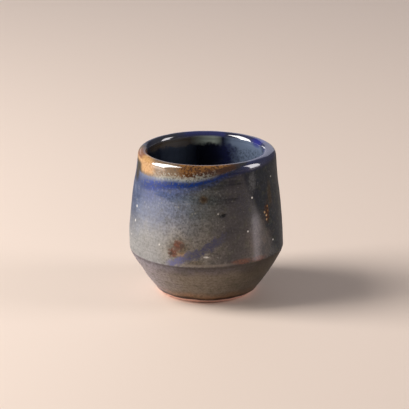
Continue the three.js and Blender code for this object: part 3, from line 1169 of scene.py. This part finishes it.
def lay_amber(field, colour):
    """Amber where the rim glaze lies straight on clay, a cream fringe along it and an olive run."""
    colour = field.lay(colour, amber_colour(field), 1.0, AMBER_RIM)
    colour = blend(field.group, field.either(CREAM_ZONES), colour, CREAM)
    return field.lay_spots(colour, [OLIVE_RUN])


def lay_lip_inside(field, colour):
    """The inner side of the lip, seen across the opening, and the cobalt that ran over it at the right."""
    colour = field.lay(colour, place_group(field.group, lip_inside)["Colour"], 1.0, LIP_INSIDE)
    return field.lay_spots(colour, [COBALT_RUN])


def outside_finish(field):
    """Satin on the cone, the cobalt and thin glaze, glossy on the rest of the wall and glassy at the lip."""
    group, grain, lines = field.group, field.measures["grain"], field.measures["lines"]
    thin = field.either(THIN_ZONES)
    satin = calc(group, "MAXIMUM", field.where(CONE), thin)
    roughness = pushed(group, GLOSSY_ROUGHNESS, grain, GRAIN_ROUGHNESS)
    roughness = pushed(group, roughness, satin, SATIN_ROUGHNESS)
    bare_of_cobalt = all_but(group, field.measures["cobalt"], COBALT_GLOSS_LOSS)
    wall_gloss = times(group, all_but(group, thin, 1.0), bare_of_cobalt, WALL_GLOSS)
    lip_gloss = times(group, field.where(GLASSY_LIP), all_but(group, field.where(DULL_LIP), LIP_GLOSS_LOSS))
    thick = calc(group, "MAXIMUM", wall_gloss, lip_gloss)
    gloss = ramp_values(group, field.where(GLOSSY_WALL), 0.0, 1.0, CONE_GLOSS, thick)
    relief = times(group, calc(group, "ADD", grain, lines), 0.5)
    return {"Roughness": roughness, "Gloss": gloss, "Relief": relief}


OUTSIDE_LAYERS = [lay_streak, lay_glints, lay_cone, lay_cobalt, lay_lip_blue, lay_amber, lay_lip_inside]


def outside_glaze_group():
    """Colour, roughness, gloss and relief of everything outside, from foot line to lip."""
    group, _ = new_group("Outside Glaze")
    field = OutsideField(group)
    colour = wall_colour(field)
    for lay in OUTSIDE_LAYERS:
        colour = lay(field, colour)
    return close_group(group, {"Colour": colour, **outside_finish(field)})


def liner_glaze_group():
    """Colour, roughness, gloss and relief of the dark blue glaze inside, painted darker to the left as shade
    and paler to the right as light.
    """
    group, _ = new_group("Liner Glaze")
    field = GlazeField(group, LINER_PUSHES)
    colour = field.lay_all(field.tones("drift", LINER_TONES), LINER_LAYERS)
    colour = field.lay(colour, place_group(group, lip_inside)["Colour"], 1.0, LINER_RUN)
    grain = field.measures["grain"]
    roughness = pushed(group, LINER_ROUGHNESS, grain, LINER_GRAIN_ROUGHNESS)
    gloss = pushed(group, LINER_GLOSS, field.measures["cloud"], LINER_CLOUD_GLOSS)
    return close_group(group, {"Colour": colour, "Roughness": roughness, "Gloss": gloss, "Relief": grain})


lip_inside = lip_inside_group()
outside_glaze = outside_glaze_group()
liner_glaze = liner_glaze_group()


def new_material(name):
    material = bpy.data.materials.new(name)
    material.use_nodes = True
    return material, material.node_tree, material.node_tree.nodes["Principled BSDF"]


def bumped(tree, height, strength, depth):
    inputs = {"Height": height, "Strength": strength, "Distance": depth}
    return add(tree, "ShaderNodeBump", inputs).outputs["Normal"]


def glazed(name, group, bump, coat_roughness):
    """A glassy glaze: a clear coat of gloss over the coloured body, with fine relief."""
    material, tree, shader = new_material(name)
    looks = place_group(tree, group)
    feed(tree, shader, {
        **GLASS,
        "Coat Roughness": coat_roughness,
        "Base Color": looks["Colour"],
        "Roughness": looks["Roughness"],
        "Coat Weight": looks["Gloss"],
        "Normal": bumped(tree, looks["Relief"], bump, GLAZE_RELIEF),
    })
    return material


def clay_material():
    material, tree, shader = new_material("bare_stoneware")
    lines = place_group(tree, turning_lines, {"Lines per mm": CLAY_LINES_PER_MM})["Lines"]
    grit = fractal(tree, place_group(tree, millimetres)["Place"], scale=2.4, detail=4.0, roughness=0.7)
    burnt = times(tree, mask(tree, grit, *CLAY_GRIT), CLAY_GRIT_WEIGHT)
    feed(tree, shader, {
        "Base Color": blend(tree, burnt, BARE_CLAY, BURNT_CLAY),
        "Roughness": CLAY_ROUGHNESS,
        "Normal": bumped(tree, calc(tree, "ADD", grit, lines), CLAY_BUMP, CLAY_RELIEF),
    })
    return material


def dress(piece, material, node):
    piece.data.materials.clear()
    piece.data.materials.append(material)
    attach(piece, "root")
    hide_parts(node)


base_look = glazed("brown_base_glaze", outside_glaze, bump=0.5, coat_roughness=0.20)
rim_look = glazed("amber_and_blue_rim_glaze", outside_glaze, bump=0.25, coat_roughness=0.07)
liner_look = glazed("night_blue_liner_glaze", liner_glaze, bump=0.3, coat_roughness=0.07)

dress(make_clay(), clay_material(), "clay_body")
dress(make_base_coat(), base_look, "base_glaze")
dress(make_rim_coat(), rim_look, "rim_glaze")
dress(make_liner_coat(), liner_look, "liner_glaze")


# Floor, light and camera

FLOOR_SIZE = 6.0
ROOM_TONE = (0.80, 0.77, 0.76, 1.0)
ROOM_LIGHT = 0.14

# Lamps: name, azimuth and elevation in degrees, distance, width and height in metres, watts, colour, spread
LAMPS = [
    ("key_light", -87, 32, 0.95, 0.50, 1.00, 14.5, (1.0, 0.97, 0.94), 180),
    ("side_light", 86, 20, 1.10, 0.42, 0.80, 4.6, (1.0, 0.95, 0.96), 180),
    ("back_light", 176, 16, 1.30, 0.80, 0.60, 0.9, (0.80, 0.81, 1.0), 180),
    ("back_strip", 204, 10, 1.30, 0.44, 0.14, 0.55, (0.94, 0.95, 1.0), 180),
    ("low_strip", 70, -9, 0.093, 0.024, 0.030, 0.00035, (1.0, 0.90, 1.0), 44),
]


def hang(data, azimuth, elevation, distance):
    """Hangs a lamp or a camera facing the cup, at an angle from the front and one above the floor."""
    rise = math.radians(elevation)
    place = on_circle(math.radians(azimuth), distance * math.cos(rise), distance * math.sin(rise))
    holder = bpy.data.objects.new(data.name, data)
    bpy.context.collection.objects.link(holder)
    holder.location = AIM + place
    holder.rotation_euler = (-place).to_track_quat("-Z", "Y").to_euler()
    return holder


def soft_box(name, azimuth, elevation, distance, width, height, watts, colour, spread):
    lamp = bpy.data.lights.new(name, "AREA")
    lamp.shape = "RECTANGLE"
    lamp.size = width
    lamp.size_y = height
    lamp.energy = watts
    lamp.color = colour
    lamp.spread = math.radians(spread)
    hang(lamp, azimuth, elevation, distance)


def make_floor():
    bpy.ops.object.select_all(action="DESELECT")
    bpy.ops.mesh.primitive_plane_add(size=FLOOR_SIZE, location=(0, 0, 0))
    floor = bpy.context.object
    floor.name = "floor"
    material, tree, shader = new_material("pale_floor")
    feed(tree, shader, {"Base Color": FLOOR_TONE, "Roughness": FLOOR_ROUGHNESS})
    floor.data.materials.append(material)


def light_room():
    world = bpy.data.worlds.new("soft_room")
    world.use_nodes = True
    background = world.node_tree.nodes["Background"]
    feed(world.node_tree, background, {"Color": ROOM_TONE, "Strength": ROOM_LIGHT})
    bpy.context.scene.world = world
    for lamp in LAMPS:
        soft_box(*lamp)


def place_camera():
    camera = bpy.data.cameras.new("photo_camera")
    camera.sensor_width = SENSOR_WIDTH
    camera.lens = SENSOR_WIDTH * FOCAL_PIXELS / PHOTO_SIZE
    camera.shift_x = (PHOTO_SIZE / 2 - AIM_PIXEL[0]) / PHOTO_SIZE
    camera.shift_y = (AIM_PIXEL[1] - PHOTO_SIZE / 2) / PHOTO_SIZE
    bpy.context.scene.camera = hang(camera, 0, CAMERA_ELEVATION, CAMERA_DISTANCE)


make_floor()
light_room()
place_camera()
bpy.context.scene.view_settings.view_transform = "Standard"
